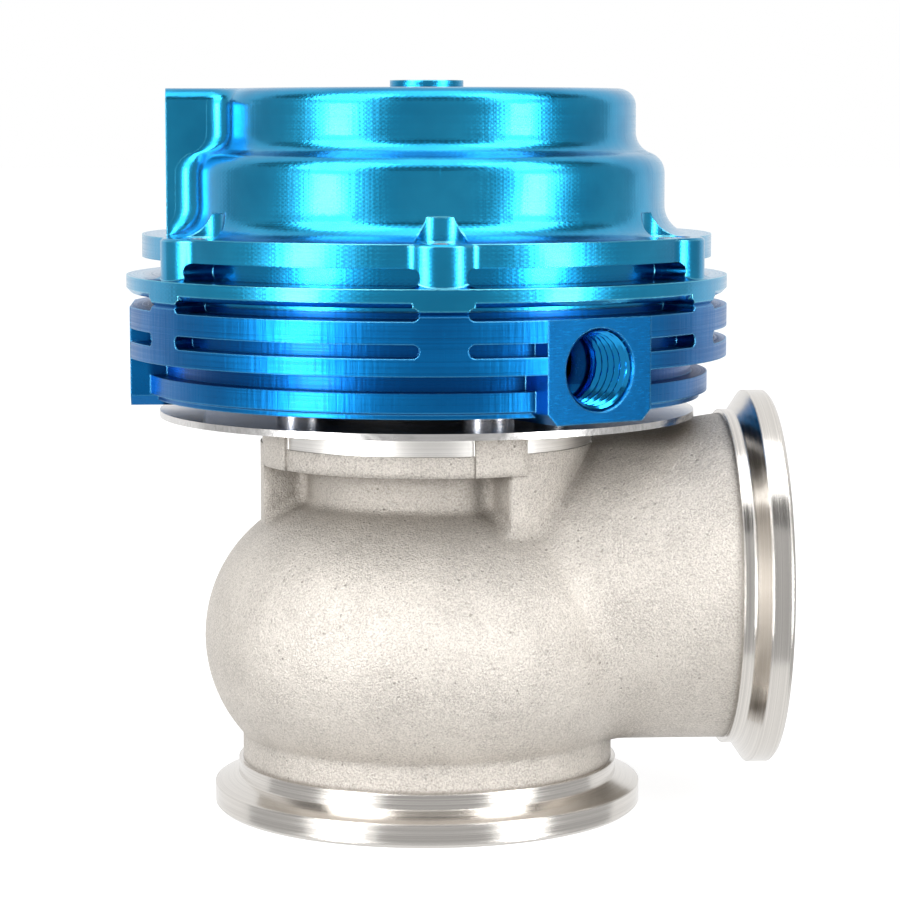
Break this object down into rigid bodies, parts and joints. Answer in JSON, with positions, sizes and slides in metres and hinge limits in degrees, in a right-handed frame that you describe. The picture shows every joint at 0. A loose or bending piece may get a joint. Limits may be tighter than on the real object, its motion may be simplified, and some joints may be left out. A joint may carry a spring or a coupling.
{
  "type": "turbo wastegate",
  "caption": "External exhaust wastegate: a blue spring-and-diaphragm actuator lifts a poppet valve in a cast elbow housing with V-band inlet and outlet.",
  "frame": {"origin": "centre of the inlet flange's face, on the valve's axis", "axes": "+Z along the valve's axis towards the actuator, +X along the outlet"},
  "size_m": [0.101, 0.094, 0.1142],
  "materials": {
    "cast_stainless": "as-cast, fine grit blasted, with turned flange faces",
    "machined_stainless": "turned",
    "bronze": "turned bronze",
    "shield_steel": "rolled, bright",
    "insulator_black": "moulded phenolic",
    "screw_steel": "plain stainless",
    "blue_anodised": "deep blue anodised, turned and milled",
    "cyan_anodised": "light blue anodised, polished",
    "plain_aluminium": "turned, bare",
    "seal_rubber": "moulded",
    "seal_ptfe": "bronze-filled PTFE",
    "spring_steel": "shot-peened spring wire",
    "diaphragm_silicone": "silicone over woven aramid"
  },
  "bodies": {
    "housing": {"valve_housing": "cast_stainless", "valve_seat": "machined_stainless", "stem_guide": "bronze", "heat_shield": "shield_steel", "standoffs": "machined_stainless", "insulator": "insulator_black", "mount_screws": "screw_steel", "actuator_body": "blue_anodised", "jacket_cover": "plain_aluminium", "jacket_oring_outer": "seal_rubber", "jacket_oring_inner": "seal_rubber", "stem_seal": "seal_ptfe", "seal_retainer": "machined_stainless", "seal_circlip": "spring_steel", "actuator_cap": "cyan_anodised", "cap_screws": "screw_steel", "diaphragm": "diaphragm_silicone", "spring_outer": "spring_steel", "spring_middle": "spring_steel", "spring_inner": "spring_steel"},
    "valve_train": {"valve": "machined_stainless", "diaphragm_plate": "plain_aluminium", "spring_cup": "plain_aluminium", "stem_washer": "machined_stainless", "stem_nut": "machined_stainless"}
  },
  "joints": [
    {"name": "valve_lift", "type": "slide", "parent": "housing", "child": "valve_train", "axis": [0, 0, 1], "range_m": [0, 0.009], "stiffness_N_per_m": 9000, "springref_m": -0.012, "deforming": ["spring_outer", "spring_middle", "spring_inner", "diaphragm"]}
  ]
}
